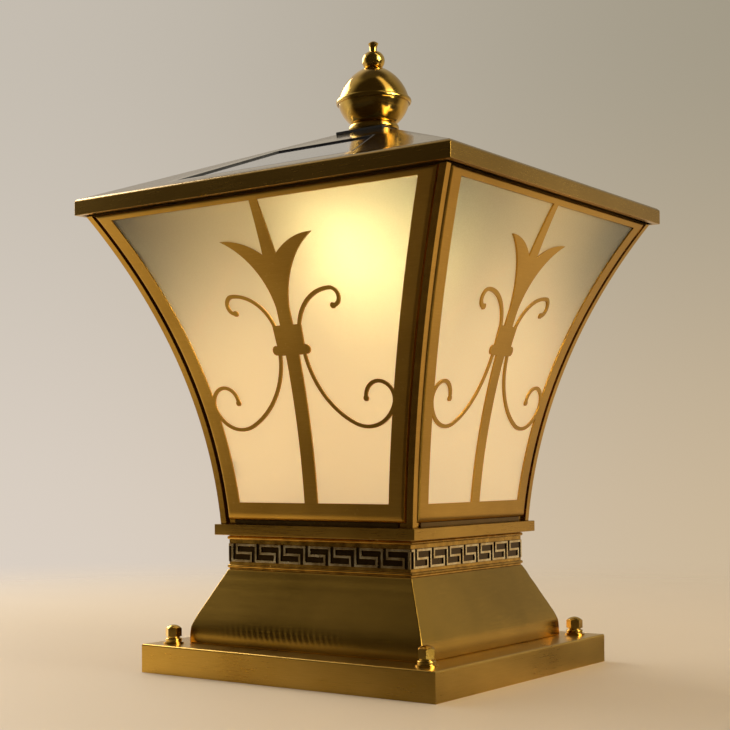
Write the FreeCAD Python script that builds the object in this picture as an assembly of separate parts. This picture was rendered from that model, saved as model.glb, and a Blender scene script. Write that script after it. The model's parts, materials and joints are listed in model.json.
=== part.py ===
import FreeCAD, Part
import math
import os
from FreeCAD import Vector

# Square brass pillar-top lantern. Millimetres, +Z up, origin at the middle of the base's underside.
# "front" is the -Y face, "right" the +X face, "back" +Y and "left" -X. Widths are across flats.

os.makedirs("parts", exist_ok=True)

# ---- stock and clearances ----
sheet = 1.5
flat_gap = 0.3
running_gap = 0.05
slide_gap = 0.25
hole_gap = 0.5
far = 400.0

# ---- base: steel mounting plate, studs, brass pan, cap nuts ----
base_width = 300.0
base_height = 25.0
base_step = 30.0
base_flange_under_skirt = 17.0
base_bend = 1.5
plate_gap = 3.5
plate_thickness = 4.0
plate_cable_hole_radius = 25.0
anchor_spacing = 160.0
anchor_hole_radius = 5.5
stud_inset = 20.0
stud_radius = 4.0
stud_thread_above_nut_seat = 10.5
washer_radius = 9.0
washer_thickness = 1.6
nut_flange_radius = 7.4
nut_flange_height = 3.4
nut_flange_round = 1.1
nut_waist_radius = 5.6
nut_waist_height = 1.4
nut_head_across_flats = 12.6
nut_head_height = 10.2
nut_dome_radius = 9.5

# ---- skirt and neck ----
skirt_lip_height = 15.0
skirt_bend = 3.0
skirt_slope_height = 50.0
skirt_slope_run = 24.5
skirt_foot_flange = 14.0
skirt_top_flange = 9.0
neck_height = 30.5
neck_foot_flange = 8.0
band_plate = 1.0
key_relief = 1.0
key_line = 2.0
key_height = 16.0
key_pitch = 26.3
key_path = ((0, 4), (0, 0), (4, 0), (4, 2), (1, 2), (1, 4), (5, 4))
key_zone_above_foot = 6.8
ridge_radius = 1.5
ridge_inset = 2.6

# ---- ledge and plinth ----
ledge_overhang = 8.5
ledge_height = 9.5
ledge_bar = 44.0
ledge_step = 4.2
plinth_height = 4.3
plinth_inset = 1.5
plinth_bar = 20.0
plinth_screw_inset = 8.0

# ---- flared lantern body ----
body_height = 273.0
flare_run = 83.7
flare_radius = 624.6
body_top_gap = 1.0
panel_sheet = 1.5
panel_edge_depth = 3.0
corner_gap = 2.5
window_margin = 23.5
window_sill = 19.5
window_head = 6.5
post_nose = 6.0
post_arm_lap = 5.5
glass_thickness = 3.0
glass_edge_gap = 1.0
clip_hold = 9.0
clip_width = 12.0
clip_thickness = 1.2
clip_foot_inset = 40.0
clip_head_inset = 30.7
clip_screw_radius = 1.5
clip_screw_head_radius = 2.8
clip_screw_head_height = 1.8

# ---- scrollwork, measured sideways from the panel's middle and upwards from the collar's middle ----
collar_height_in_panel = 151.8
collar_half_height = 12.3
collar_top_half_width = 14.6
collar_bottom_half_width = 13.6
collar_knob = (15.3, -8.0)
collar_knob_radius = 4.0
stem_half_width = 6.4
mullion_half_width = 6.7
mullion_top_half_width = 3.7
leaf_join = (6.6, 68.4)
leaf_upper_bow = (23.0, 77.9)
leaf_tip = (47.0, 82.2)
leaf_lower_bow = (18.4, 57.6)
leaf_root = (6.4, 26.4)
ribbon_width = 3.1
ribbon_ball_radius = 2.4
upper_scroll = ((12.7, 11.6), (24.6, 29.5), (50.6, 38.6))
upper_scroll_ends = ((50.2, 24.6),)
lower_scroll = ((12.6, -11.0), (25.2, -46.0), (53.0, -70.1))
lower_scroll_ends = ((92.4, -55.6), (66.3, -50.2))

# ---- top ring, hanger and electrics ----
ring_thickness = 2.0
ring_inset = 1.5
ring_bar = 31.4
hanger_width = 30.0
hanger_thickness = 3.0
hanger_foot = 22.0
hanger_headroom = 13.7
hanger_top_length = 70.0
hanger_screw_inset = 10.0
hanger_screw_half_pitch = 7.5
screw_radius = 2.0
screw_head_radius = 3.8
screw_head_height = 2.4
screw_reach = 6.0
tube_radius = 5.0
tube_bore_radius = 3.2
tube_nut_across_flats = 17.0
tube_nut_height = 4.0
tube_into_knob = 6.0
holder_wall = 6.0
holder_height = 40.0
holder_roof = 8.0
shell_wall = 0.6
lamp_cap_radius = 13.2
lamp_thread_gap = 1.15
lamp_cap_length = 25.0
lamp_cap_gap = 4.0
lamp_contact_radius = 4.0
lamp_contact_height = 0.75
lamp_collar_length = 20.0
lamp_collar_bow = 0.8
globe_radius = 28.0
globe_neck_drop = 20.0
globe_wall = 1.2
tray_edge = 8.0
tray_thickness = 2.0
tray_lamp_way = 4.0
battery_cell_radius = 9.25
battery_cell_length = 65.0
battery_cells = 3
battery_wall = 1.6
box_offset = 84.0
controller_length = 54.0
controller_width = 44.0
controller_height = 18.0
controller_wall = 1.8
button_radius = 4.0
button_proud = 3.0
button_travel = 1.5
button_flange = 1.2
board_thickness = 1.6

# ---- roof ----
roof_overhang = 7.0
rim_height = 13.7
rim_bend = 2.0
rim_return = 3.4
roof_rise = 63.0
roof_top_width = 49.0
roof_seat_inset = 4.4
roof_seat_wall = 1.6
solar_edge = 23.5
solar_head_margin = 55.15
solar_foot_hip_margin = 77.5
solar_head_hip_margin = 25.0
solar_recess = 2.7
solar_thickness = 4.0
solar_overlap = 4.0
seal_lip = 1.5
strap_width = 14.0
strap_thickness = 1.5
strap_foot = 6.0

# ---- finial ----
gasket_thickness = 2.0
foot_bulge = 2.3
foot_height = 8.0
bowl_foot_radius = 20.5
bowl_height = 20.1
ball_radius = 32.4
bowl_bow = 2.2
band_proud = 1.7
band_height = 4.4
dome_height = 30.1
dome_top_radius = 9.4
dome_bow = 4.6
spun_wall = 1.2
knob_radius = 10.3
knob_height = 16.0
knob_end_radius = 6.4
tip_neck_radius = 3.3
tip_radius = 4.7
tip_height = 9.2
tip_crown = 2.4
tip_waist = 0.6

# ---- worked-out widths ----
skirt_lip_width = base_width - 2 * base_step
neck_width = skirt_lip_width - 2 * skirt_slope_run
ledge_width = neck_width + 2 * ledge_overhang
body_bottom_width = ledge_width - 2 * ledge_step
body_top_width = body_bottom_width + 2 * flare_run
roof_width = body_top_width + 2 * roof_overhang
base_opening = skirt_lip_width - 2 * base_flange_under_skirt
plate_width = base_width - 2 * (sheet + plate_gap)
stud_spacing = base_width - 2 * stud_inset
ledge_opening = ledge_width - 2 * ledge_bar
plinth_width = body_bottom_width - 2 * plinth_inset
neck_core_width = neck_width - 2 * (band_plate + key_relief)
panel_edge_margin = post_nose + corner_gap
post_arm = panel_edge_margin + post_arm_lap
glass_margin = post_arm + glass_edge_gap
clip_reach = glass_margin + clip_hold
holder_bore_radius = lamp_cap_radius + lamp_thread_gap + shell_wall + running_gap
holder_radius = holder_bore_radius + holder_wall
tray_lamp_hole_radius = globe_radius + tray_lamp_way
tray_width = 2 * (tray_lamp_hole_radius + tray_edge)
foot_radius = bowl_foot_radius + foot_bulge
band_radius = ball_radius + band_proud

# ---- depths below the body's outer skin ----
glass_front = panel_sheet + flat_gap
glass_back = glass_front + glass_thickness
post_back = panel_edge_depth + sheet
clip_seat = glass_back + flat_gap
clip_back = clip_seat + clip_thickness

# ---- levels ----
lip_foot_z = base_height
lip_top_z = lip_foot_z + skirt_lip_height
skirt_top_z = lip_top_z + skirt_slope_height
neck_top_z = skirt_top_z + neck_height
ledge_top_z = neck_top_z + ledge_height
panel_foot_z = ledge_top_z + plinth_height
rim_foot_z = ledge_top_z + body_height
body_top_z = rim_foot_z - body_top_gap
ring_top_z = body_top_z + ring_thickness
eave_z = rim_foot_z + rim_height
roof_top_z = eave_z + roof_rise
finial_foot_z = roof_top_z + gasket_thickness
bowl_foot_z = finial_foot_z + foot_height
band_z = bowl_foot_z + bowl_height
dome_top_z = band_z + dome_height
knob_top_z = dome_top_z + knob_height
hanger_top_z = roof_top_z - hanger_headroom
tray_top_z = ring_top_z + tray_thickness

# ---- roof slope and the solar panel's outline on it ----
slope_run = (roof_width - roof_top_width) / 2
slope_length = math.hypot(slope_run, roof_rise)
slope_angle = math.atan2(roof_rise, slope_run)
slope_per_mm = math.tan(slope_angle)
sheet_drop = sheet / math.cos(slope_angle)
solar_length = slope_length - solar_edge - solar_head_margin
solar_foot_in = solar_edge * math.cos(slope_angle)
solar_head_in = (solar_edge + solar_length) * math.cos(slope_angle)
solar_foot_half_width = roof_width / 2 - solar_foot_in - solar_foot_hip_margin
solar_head_half_width = roof_width / 2 - solar_head_in - solar_head_hip_margin

faces = ("front", "right", "back", "left")
corners = ("front_right", "back_right", "back_left", "front_left")


# ---- small helpers ----
def save(name, shape):
    shape.exportStep("parts/" + name + ".step")


def turned(shape, quarter):
    copy = shape.copy()
    copy.rotate(Vector(0, 0, 0), Vector(0, 0, 1), 90 * quarter)
    return copy


def four(shape):
    return Part.makeCompound([turned(shape, quarter) for quarter in range(4)])


def joined(shapes):
    return shapes[0].multiFuse(shapes[1:]).removeSplitter()


def box(x1, x2, y1, y2, z1, z2):
    return Part.makeBox(x2 - x1, y2 - y1, z2 - z1, Vector(x1, y1, z1))


def block(width, z1, z2):
    half = width / 2
    return box(-half, half, -half, half, z1, z2)


def square_tube(width, wall, z1, z2):
    return block(width, z1, z2).cut(block(width - 2 * wall, z1 - wall, z2 + wall))


def square_ring(width, opening, z1, z2):
    return block(width, z1, z2).cut(block(opening, z1 - sheet, z2 + sheet))


def rod(radius, z1, z2, x=0.0, y=0.0):
    return Part.makeCylinder(radius, z2 - z1, Vector(x, y, z1))


def hexagon(across_flats, z1, z2, x=0.0, y=0.0):
    reach = across_flats / 2 / math.cos(math.pi / 6)
    points = [Vector(x + reach * math.cos(math.pi / 3 * k), y + reach * math.sin(math.pi / 3 * k), z1)
              for k in range(7)]
    return Part.Face(Part.makePolygon(points)).extrude(Vector(0, 0, z2 - z1))


def square_points(width, z):
    half = width / 2
    return [Vector(-half, -half, z), Vector(half, -half, z), Vector(half, half, z), Vector(-half, half, z)]


def flat(points):
    return Part.Face(Part.makePolygon(points + points[:1]))


def frustum(width1, z1, width2, z2):
    """A cut-off square pyramid, made of six flat faces."""
    low, high = square_points(width1, z1), square_points(width2, z2)
    sides = [flat([low[k], low[k - 3], high[k - 3], high[k]]) for k in range(4)]
    return Part.Solid(Part.Shell(sides + [flat(low), flat(high)]))


def spun(edges):
    return Part.Face(Part.Wire(edges)).revolve(Vector(0, 0, 0), Vector(0, 0, 1), 360)


def line(start, end):
    return Part.LineSegment(Vector(*start), Vector(*end)).toShape()


def arc(start, middle, end):
    return Part.Arc(Vector(*start), Vector(*middle), Vector(*end)).toShape()


def bowed(start, end, bow):
    """An arc in the XZ plane that stands out by bow from its chord, away from the axis."""
    run, rise = end[0] - start[0], end[2] - start[2]
    chord = math.hypot(run, rise)
    side = math.copysign(1.0, rise)
    middle = ((start[0] + end[0]) / 2 + side * bow * rise / chord, 0,
              (start[2] + end[2]) / 2 - side * bow * run / chord)
    return arc(start, middle, end)


def crown(edge_radius, edge_z, top_z):
    """An arc in the XZ plane from an edge up to the axis, level where it meets the axis."""
    height = top_z - edge_z
    radius = (edge_radius ** 2 + height ** 2) / 2 / height
    half_angle = math.asin(edge_radius / radius) / 2
    middle = (radius * math.sin(half_angle), 0, top_z - radius * (1 - math.cos(half_angle)))
    return arc((edge_radius, 0, edge_z), middle, (0, 0, top_z))


def head_screw(x, y, seat_z, reach, upwards=False):
    """A pan-head screw whose head sits on seat_z; upwards turns its point to +Z."""
    sense = 1 if upwards else -1
    tip_z = seat_z + sense * reach
    shank = rod(screw_radius, min(seat_z, tip_z), max(seat_z, tip_z), x, y)
    head_end = seat_z - sense * screw_head_height
    head = rod(screw_head_radius, min(seat_z, head_end), max(seat_z, head_end), x, y)
    return shank.fuse(head).removeSplitter()


def skirt_screws():
    """Up through the pan's top into the skirt's foot flange, one on each side."""
    place = skirt_lip_width / 2 - sheet - skirt_foot_flange / 2
    return four(head_screw(place, 0, base_height - sheet, screw_reach, upwards=True))


def neck_screws():
    """Down through the neck's foot flange into the skirt's top flange."""
    place = neck_core_width / 2 - sheet - neck_foot_flange / 2
    return four(head_screw(place, 0, skirt_top_z + sheet, screw_reach))


def plinth_screws():
    """Up through the ledge into the plinth ring."""
    place = plinth_width / 2 - plinth_bar + plinth_screw_inset
    return four(head_screw(place, 0, ledge_top_z - sheet, sheet + plinth_height - flat_gap, upwards=True))


def ring_screws():
    """Down through the hanger's feet and the tray's ends into the top ring."""
    place = ring_width / 2 - ring_bar + hanger_foot - hanger_screw_inset
    pair = []
    for across in (-hanger_screw_half_pitch, hanger_screw_half_pitch):
        for side in (-1, 1):
            pair.append(head_screw(side * place, across, ring_top_z + hanger_thickness,
                                   hanger_thickness + ring_thickness))
            pair.append(head_screw(across, side * place, tray_top_z, tray_thickness + ring_thickness))
    return Part.makeCompound(pair)


def drilled(shape, screws):
    """The shape with a clearance hole for each screw that passes through it."""
    for screw in screws.Solids:
        middle = screw.BoundBox.Center
        hole = rod(screw_radius + running_gap, screw.BoundBox.ZMin - sheet, screw.BoundBox.ZMax + sheet,
                   middle.x, middle.y)
        shape = shape.cut(hole)
    return shape


# ---- base ----
def build_base():
    stud = stud_spacing / 2
    seat_z = base_height + washer_thickness

    plate = block(plate_width, 0, plate_thickness)
    plate = plate.cut(rod(plate_cable_hole_radius, -sheet, plate_thickness + sheet))
    anchor = anchor_spacing / 2
    for x in (-anchor, anchor):
        for y in (-anchor, anchor):
            plate = plate.cut(rod(anchor_hole_radius, -sheet, plate_thickness + sheet, x, y))
    save("mounting_plate", plate)

    stud_piece = rod(stud_radius, plate_thickness, seat_z + stud_thread_above_nut_seat, stud, -stud)
    save("mounting_studs", four(stud_piece))

    outer = block(base_width, 0, base_height)
    outer = outer.makeFillet(base_bend, [edge for edge in outer.Edges
                                         if edge.BoundBox.ZMin > base_height - sheet / 2])
    pan = outer.cut(block(base_width - 2 * sheet, -sheet, base_height - sheet))
    pan = pan.cut(block(base_opening, 0, base_height + sheet))
    for quarter in range(4):
        pan = pan.cut(turned(rod(stud_radius + hole_gap, 0, base_height + sheet, stud, -stud), quarter))
    save("base_pan", drilled(pan, skirt_screws()))

    washer = rod(washer_radius, base_height, seat_z, stud, -stud)
    washer = washer.cut(rod(stud_radius + hole_gap, base_height - sheet, seat_z + sheet, stud, -stud))
    save("stud_washers", four(washer))

    waist_z = seat_z + nut_flange_height
    head_z = waist_z + nut_waist_height
    top_z = head_z + nut_head_height
    flange = rod(nut_flange_radius, seat_z, waist_z)
    flange = flange.makeFillet(nut_flange_round, [edge for edge in flange.Edges
                                                  if edge.BoundBox.ZMin > waist_z - sheet / 2])
    waist = rod(nut_waist_radius, waist_z, head_z)
    head = hexagon(nut_head_across_flats, head_z, top_z)
    dome = Part.makeSphere(nut_dome_radius, Vector(0, 0, top_z - nut_dome_radius))
    foot_of_dome = rod(nut_dome_radius, head_z - sheet, top_z - nut_dome_radius)
    head = head.common(dome.fuse(foot_of_dome))
    nut = joined([flange, waist, head])
    bore_top = seat_z + stud_thread_above_nut_seat + flat_gap
    nut = nut.cut(rod(stud_radius + running_gap, seat_z - sheet, bore_top))
    nut.translate(Vector(stud, -stud, 0))
    for quarter, corner in enumerate(corners):
        save("cap_nut_" + corner, turned(nut, quarter))


# ---- skirt, neck, key bands, ledge, plinth ----
def build_skirt():
    slope_run = (skirt_lip_width - neck_width) / 2
    slope_length = math.hypot(slope_run, skirt_slope_height)
    wall_run = sheet * slope_length / skirt_slope_height
    lip = block(skirt_lip_width, lip_foot_z, lip_top_z)
    slope = frustum(skirt_lip_width, lip_top_z, neck_width, skirt_top_z)
    outer = lip.fuse(slope).removeSplitter()
    bends = [edge for edge in outer.Edges
             if abs(edge.BoundBox.ZMin - lip_top_z) < flat_gap and edge.BoundBox.ZLength < flat_gap]
    outer = outer.makeFillet(skirt_bend, bends)
    top_under = skirt_top_z - sheet
    inner_lip = skirt_lip_width - 2 * sheet
    inner_top = neck_width - 2 * wall_run + 2 * slope_run * sheet / skirt_slope_height
    inner = block(inner_lip, lip_foot_z + sheet, lip_top_z - sheet)
    inner = inner.fuse(frustum(inner_lip, lip_top_z - sheet, inner_top, top_under))
    skirt = outer.cut(inner)
    foot_opening = skirt_lip_width - 2 * (sheet + skirt_foot_flange)
    top_opening = inner_top - 2 * skirt_top_flange
    skirt = skirt.cut(block(foot_opening, lip_foot_z - sheet, lip_foot_z + 2 * sheet))
    skirt = skirt.cut(block(top_opening, top_under - sheet, skirt_top_z + sheet))
    skirt = drilled(drilled(skirt, skirt_screws()), neck_screws())
    save("skirt", skirt)


def key_line_boxes(y_face, start_x, foot_z):
    """Raised lines of one repeat of the square key, as boxes standing on the band's plate."""
    cell_x = key_pitch / max(u for u, v in key_path)
    cell_z = (key_height - key_line) / max(v for u, v in key_path)
    shapes = []
    for (u1, v1), (u2, v2) in zip(key_path, key_path[1:]):
        x1, x2 = sorted((start_x + u1 * cell_x, start_x + u2 * cell_x))
        z1, z2 = sorted((foot_z + v1 * cell_z, foot_z + v2 * cell_z))
        shapes.append(box(x1, x2 + key_line, y_face - key_relief, y_face + band_plate / 2, z1, z2 + key_line))
    return shapes


def build_neck():
    core_foot = skirt_top_z
    core_top = ledge_top_z - sheet
    core = square_tube(neck_core_width, sheet, core_foot, core_top)
    flange_opening = neck_core_width - 2 * (sheet + neck_foot_flange)
    core = core.fuse(square_ring(neck_core_width, flange_opening, core_foot, core_foot + sheet))
    save("neck_core", drilled(core.removeSplitter(), neck_screws()))

    back_y = -neck_core_width / 2
    plate_y = back_y - band_plate
    half = neck_width / 2
    edge_half = half - key_relief
    band_foot = skirt_top_z
    band_top = neck_top_z
    plate = box(-edge_half, edge_half, plate_y, back_y, band_foot, band_top)
    zone_foot = band_foot + key_zone_above_foot
    repeats = math.ceil(neck_width / key_pitch)
    first_x = edge_half - key_line - repeats * key_pitch
    lines = []
    for repeat in range(repeats):
        lines += key_line_boxes(plate_y, first_x + repeat * key_pitch, zone_foot)
    lines.append(box(edge_half - key_line, edge_half, plate_y - key_relief, plate_y + band_plate / 2,
                     zone_foot, zone_foot + key_height))
    relief = joined(lines).common(box(-edge_half, edge_half, plate_y - key_relief, back_y,
                                      band_foot, band_top))
    ridges = []
    for ridge_z in (band_foot + ridge_inset, band_top - ridge_inset):
        ridge = Part.makeCylinder(ridge_radius, 2 * half, Vector(-half, plate_y, ridge_z), Vector(1, 0, 0))
        ridge = ridge.cut(box(-far, far, back_y, far, ridge_z - far, ridge_z + far))
        ridges.append(ridge)
    beyond_mitre = flat([Vector(0, 0, 0), Vector(far, -far, 0), Vector(far, 0, 0)]).extrude(Vector(0, 0, far))
    band = joined([plate, relief] + ridges).copy().cut(beyond_mitre)
    band = band.copy().cut(beyond_mitre.mirror(Vector(0, 0, 0), Vector(1, 0, 0)))
    for quarter, face in enumerate(faces):
        save("key_band_" + face, turned(band, quarter))


def build_ledge():
    top = block(ledge_width, neck_top_z, ledge_top_z)
    inside = block(ledge_width - 2 * sheet, neck_top_z + sheet, ledge_top_z - sheet)
    ledge = top.cut(inside)
    ledge = ledge.cut(block(neck_core_width + 2 * hole_gap, neck_top_z - sheet, neck_top_z + 2 * sheet))
    ledge = ledge.cut(block(ledge_opening, ledge_top_z - 2 * sheet, ledge_top_z + sheet))
    save("ledge", drilled(ledge, plinth_screws()))

    ring = square_ring(plinth_width, plinth_width - 2 * plinth_bar, ledge_top_z, panel_foot_z)
    notch = post_arm + glass_edge_gap
    corner = body_bottom_width / 2 - notch
    for quarter in range(4):
        ring = ring.cut(turned(box(corner, far, -far, -corner, ledge_top_z - sheet, panel_foot_z + sheet),
                               quarter))
    save("plinth_ring", drilled(ring, plinth_screws()))


# ---- flared body ----
def flare_centre():
    """Centre, as half-width and height, of the arc that both ends of the body's profile lie on."""
    low = (body_bottom_width / 2, ledge_top_z)
    high = (body_top_width / 2, rim_foot_z)
    run, rise = high[0] - low[0], high[1] - low[1]
    chord = math.hypot(run, rise)
    away = math.sqrt(flare_radius ** 2 - (chord / 2) ** 2)
    return ((low[0] + high[0]) / 2 + away * rise / chord, (low[1] + high[1]) / 2 - away * run / chord)


flare_w, flare_z = flare_centre()


def half_width(z, depth=0.0, margin=0.0):
    """Half-width of the body at z, depth below its skin, and margin in from its corner."""
    return flare_w - margin - math.sqrt((flare_radius + depth) ** 2 - (z - flare_z) ** 2)


ring_width = 2 * (half_width(body_top_z) - ring_inset)
ring_opening = ring_width - 2 * ring_bar
roof_seat_width = ring_width - 2 * roof_seat_inset


def outside_prism(depth, z1, z2, margin=0.0):
    """All that lies outside the front face's skin, lowered by depth, between two levels."""
    def at(z):
        return (0, -half_width(z, depth, margin), z)
    middle = (z1 + z2) / 2
    edges = [arc(at(z1), at(middle), at(z2)), line(at(z2), (0, -far, z2)), line((0, -far, z2), (0, -far, z1)),
             line((0, -far, z1), at(z1))]
    slab = Part.Face(Part.Wire(edges)).extrude(Vector(2 * far, 0, 0))
    slab.translate(Vector(-far, 0, 0))
    return slab


def skin(depth1, depth2, z1, z2):
    """A curved sheet along the front face, from depth1 to depth2 below the body's outer skin."""
    return outside_prism(depth2, z1, z2).cut(outside_prism(depth1, z1 - sheet, z2 + sheet))


def panel_prism(margin, z1, z2):
    """The front face's outline, margin in from both corners, as a prism along Y."""
    def at(side, z):
        return (side * half_width(z, 0, margin), 0, z)
    middle = (z1 + z2) / 2
    edges = [line(at(-1, z1), at(1, z1)), arc(at(1, z1), at(1, middle), at(1, z2)),
             line(at(1, z2), at(-1, z2)), arc(at(-1, z2), at(-1, middle), at(-1, z1))]
    return Part.Face(Part.Wire(edges)).extrude(Vector(0, -far, 0))


def corner_prism(margin, z1, z2):
    """A column along the front right corner, margin wide each way, open outwards."""
    front = outside_prism(0, z1, z2, margin)
    return front.common(turned(front, 1))


def flat_face(edges):
    return Part.Face(Part.Wire(edges)).extrude(Vector(0, -far, 0))


def tangent_arc(start, heading, end):
    """The arc that leaves start along heading and reaches end: its middle point and last heading."""
    chord = (end[0] - start[0], end[1] - start[1])
    length = math.hypot(*chord)
    half_turn = math.atan2(heading[0] * chord[1] - heading[1] * chord[0],
                           heading[0] * chord[0] + heading[1] * chord[1])
    radius = length / 2 / math.sin(half_turn)
    normal = (-heading[1], heading[0])
    centre = (start[0] + normal[0] * radius, start[1] + normal[1] * radius)
    spoke = (start[0] - centre[0], start[1] - centre[1])
    middle = (centre[0] + spoke[0] * math.cos(half_turn) - spoke[1] * math.sin(half_turn),
              centre[1] + spoke[0] * math.sin(half_turn) + spoke[1] * math.cos(half_turn))
    turn = 2 * half_turn
    last = (heading[0] * math.cos(turn) - heading[1] * math.sin(turn),
            heading[0] * math.sin(turn) + heading[1] * math.cos(turn))
    return middle, last


def ribbon_prism(start, middle, end, width):
    """A strip of even width along the arc through three points of the panel's plane, as a prism."""
    curve = Part.Arc(*[Vector(x, 0, z) for x, z in (start, middle, end)]).toShape()
    centre = curve.Curve.Center

    def moved(point, side):
        spoke = Vector(point[0], 0, point[1]) - centre
        return centre + spoke * ((spoke.Length + side * width / 2) / spoke.Length)
    outer = [moved(point, 1) for point in (start, middle, end)]
    inner = [moved(point, -1) for point in (start, middle, end)]
    return flat_face([Part.Arc(*outer).toShape(), Part.LineSegment(outer[2], inner[2]).toShape(),
                      Part.Arc(inner[2], inner[1], inner[0]).toShape(),
                      Part.LineSegment(inner[0], outer[0]).toShape()])


def disc_prism(centre, radius):
    return Part.makeCylinder(radius, far, Vector(centre[0], 0, centre[1]), Vector(0, -1, 0))


def scroll_prisms(first, ends, up):
    """One scroll: an arc through three points, tangent arcs to each further point, and a round end."""
    points = [(x, z + up) for x, z in first]
    edge = Part.Arc(*[Vector(x, 0, z) for x, z in points]).toShape()
    shapes = [ribbon_prism(points[0], points[1], points[2], ribbon_width)]
    leaving = edge.tangentAt(edge.LastParameter)
    travel = Vector(points[2][0] - points[1][0], 0, points[2][1] - points[1][1])
    if leaving.dot(travel) < 0:
        leaving = leaving * -1
    heading = (leaving.x, leaving.z)
    start = points[2]
    for x, z in ends:
        end = (x, z + up)
        middle, heading = tangent_arc(start, heading, end)
        shapes.append(ribbon_prism(start, middle, end, ribbon_width))
        start = end
    shapes.append(disc_prism(start, ribbon_ball_radius))
    return shapes


def scrollwork(collar_z, sill_z, head_z):
    """Fleur, collar, scrolls and mullion, as prisms through the front panel's sheet."""
    def up(point):
        return (point[0], 0, point[1] + collar_z)
    collar_top = collar_z + collar_half_height
    collar_foot = collar_z - collar_half_height
    half = [flat_face([line((0, 0, collar_top), (stem_half_width, 0, collar_top)),
                       line((stem_half_width, 0, collar_top), up(leaf_root)),
                       arc(up(leaf_root), up(leaf_lower_bow), up(leaf_tip)),
                       arc(up(leaf_tip), up(leaf_upper_bow), up(leaf_join)),
                       line(up(leaf_join), (0, 0, collar_z + leaf_join[1])),
                       line((0, 0, collar_z + leaf_join[1]), (0, 0, collar_top))]),
            flat_face([line((0, 0, collar_foot), (collar_bottom_half_width, 0, collar_foot)),
                       line((collar_bottom_half_width, 0, collar_foot),
                            (collar_top_half_width, 0, collar_top)),
                       line((collar_top_half_width, 0, collar_top), (0, 0, collar_top)),
                       line((0, 0, collar_top), (0, 0, collar_foot))]),
            disc_prism((collar_knob[0], collar_z + collar_knob[1]), collar_knob_radius)]
    half += scroll_prisms(upper_scroll, upper_scroll_ends, collar_z)
    half += scroll_prisms(lower_scroll, lower_scroll_ends, collar_z)
    other = [shape.mirror(Vector(0, 0, 0), Vector(1, 0, 0)) for shape in half]
    join_z = collar_z + leaf_join[1]
    spire = flat_face([line((-leaf_join[0], 0, join_z), (leaf_join[0], 0, join_z)),
                       line((leaf_join[0], 0, join_z), (mullion_top_half_width, 0, head_z)),
                       line((mullion_top_half_width, 0, head_z), (-mullion_top_half_width, 0, head_z)),
                       line((-mullion_top_half_width, 0, head_z), (-leaf_join[0], 0, join_z))])
    shaft = box(-mullion_half_width, mullion_half_width, -far, 0, sill_z, collar_foot)
    return half + other + [spire, shaft]


def build_panels():
    foot_z = panel_foot_z
    sill_z = ledge_top_z + window_sill
    window_top_z = rim_foot_z - window_head
    collar_z = foot_z + collar_height_in_panel

    outline = panel_prism(panel_edge_margin, foot_z, body_top_z)
    front_sheet = skin(0, panel_sheet, foot_z, body_top_z).common(outline)
    rails = front_sheet.cut(panel_prism(window_margin, sill_z, window_top_z))
    pattern = joined(scrollwork(collar_z, sill_z - sheet, window_top_z + sheet)).common(front_sheet)
    edge_inside = panel_prism(panel_edge_margin + sheet, foot_z + sheet, body_top_z - sheet)
    edge = skin(0, panel_edge_depth, foot_z, body_top_z).common(outline).cut(edge_inside)
    lattice = joined([rails, edge, pattern])

    glass_foot = foot_z + sheet + glass_edge_gap
    glass_top = body_top_z - sheet - glass_edge_gap
    glass = skin(glass_front, glass_back, glass_foot, glass_top)
    glass = glass.common(panel_prism(glass_margin, glass_foot, glass_top))
    for quarter, face in enumerate(faces):
        save("lattice_panel_" + face, turned(lattice, quarter))
        save("frosted_pane_" + face, turned(glass, quarter))


def corner_layer(depth1, depth2, wide, narrow):
    """An angle that follows the front right corner, cut from the skin between two depths."""
    low, high = ledge_top_z, body_top_z
    shape = corner_prism(wide, low, high)
    if narrow > 0:
        shape = shape.cut(corner_prism(narrow, low - sheet, high + sheet))
    outside = outside_prism(depth1, low - sheet, high + sheet)
    shape = shape.cut(outside).cut(turned(outside, 1))
    deep = outside_prism(depth2, low, high)
    return shape.common(deep.fuse(turned(deep, 1)))


def build_posts(screws):
    nose = corner_layer(0, sheet, post_nose, 0)
    web = corner_layer(0, post_back, post_nose, post_nose - sheet)
    arms = corner_layer(panel_edge_depth, post_back, post_arm, post_nose - sheet)
    post = joined([nose, web, arms])
    for quarter in range(4):
        for screw in screws:
            post = post.cut(turned(screw, quarter))
    for quarter, corner in enumerate(corners):
        save("corner_post_" + corner, turned(post, quarter))


def clip_pair(foot_z):
    """The two Z-shaped clips that hold the front pane to its posts at one height."""
    top_z = foot_z + clip_width
    past_nose = panel_prism(post_nose + sheet, foot_z, top_z)
    root = past_nose.cut(panel_prism(glass_margin - glass_edge_gap, foot_z, top_z))
    reach = past_nose.cut(panel_prism(clip_reach, foot_z, top_z))
    clip = skin(post_back, clip_back, foot_z, top_z).common(root)
    return clip.fuse(skin(clip_seat, clip_back, foot_z, top_z).common(reach)).removeSplitter().Solids


def clip_screw(side, z):
    """Through a clip into the post's arm, square to the flared face."""
    margin = (post_nose + sheet + post_arm) / 2
    lean = math.atan2(z - flare_z, math.sqrt((flare_radius + clip_back) ** 2 - (z - flare_z) ** 2))
    outwards = Vector(0, -math.cos(lean), -math.sin(lean))
    seat = Vector(side * half_width(z, 0, margin), -half_width(z, clip_back), z) - outwards * flat_gap
    shank = Part.makeCylinder(clip_screw_radius, clip_back - panel_edge_depth - flat_gap, seat, outwards)
    head = Part.makeCylinder(clip_screw_head_radius, clip_screw_head_height, seat, outwards * -1)
    return shank.fuse(head).removeSplitter()


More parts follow.
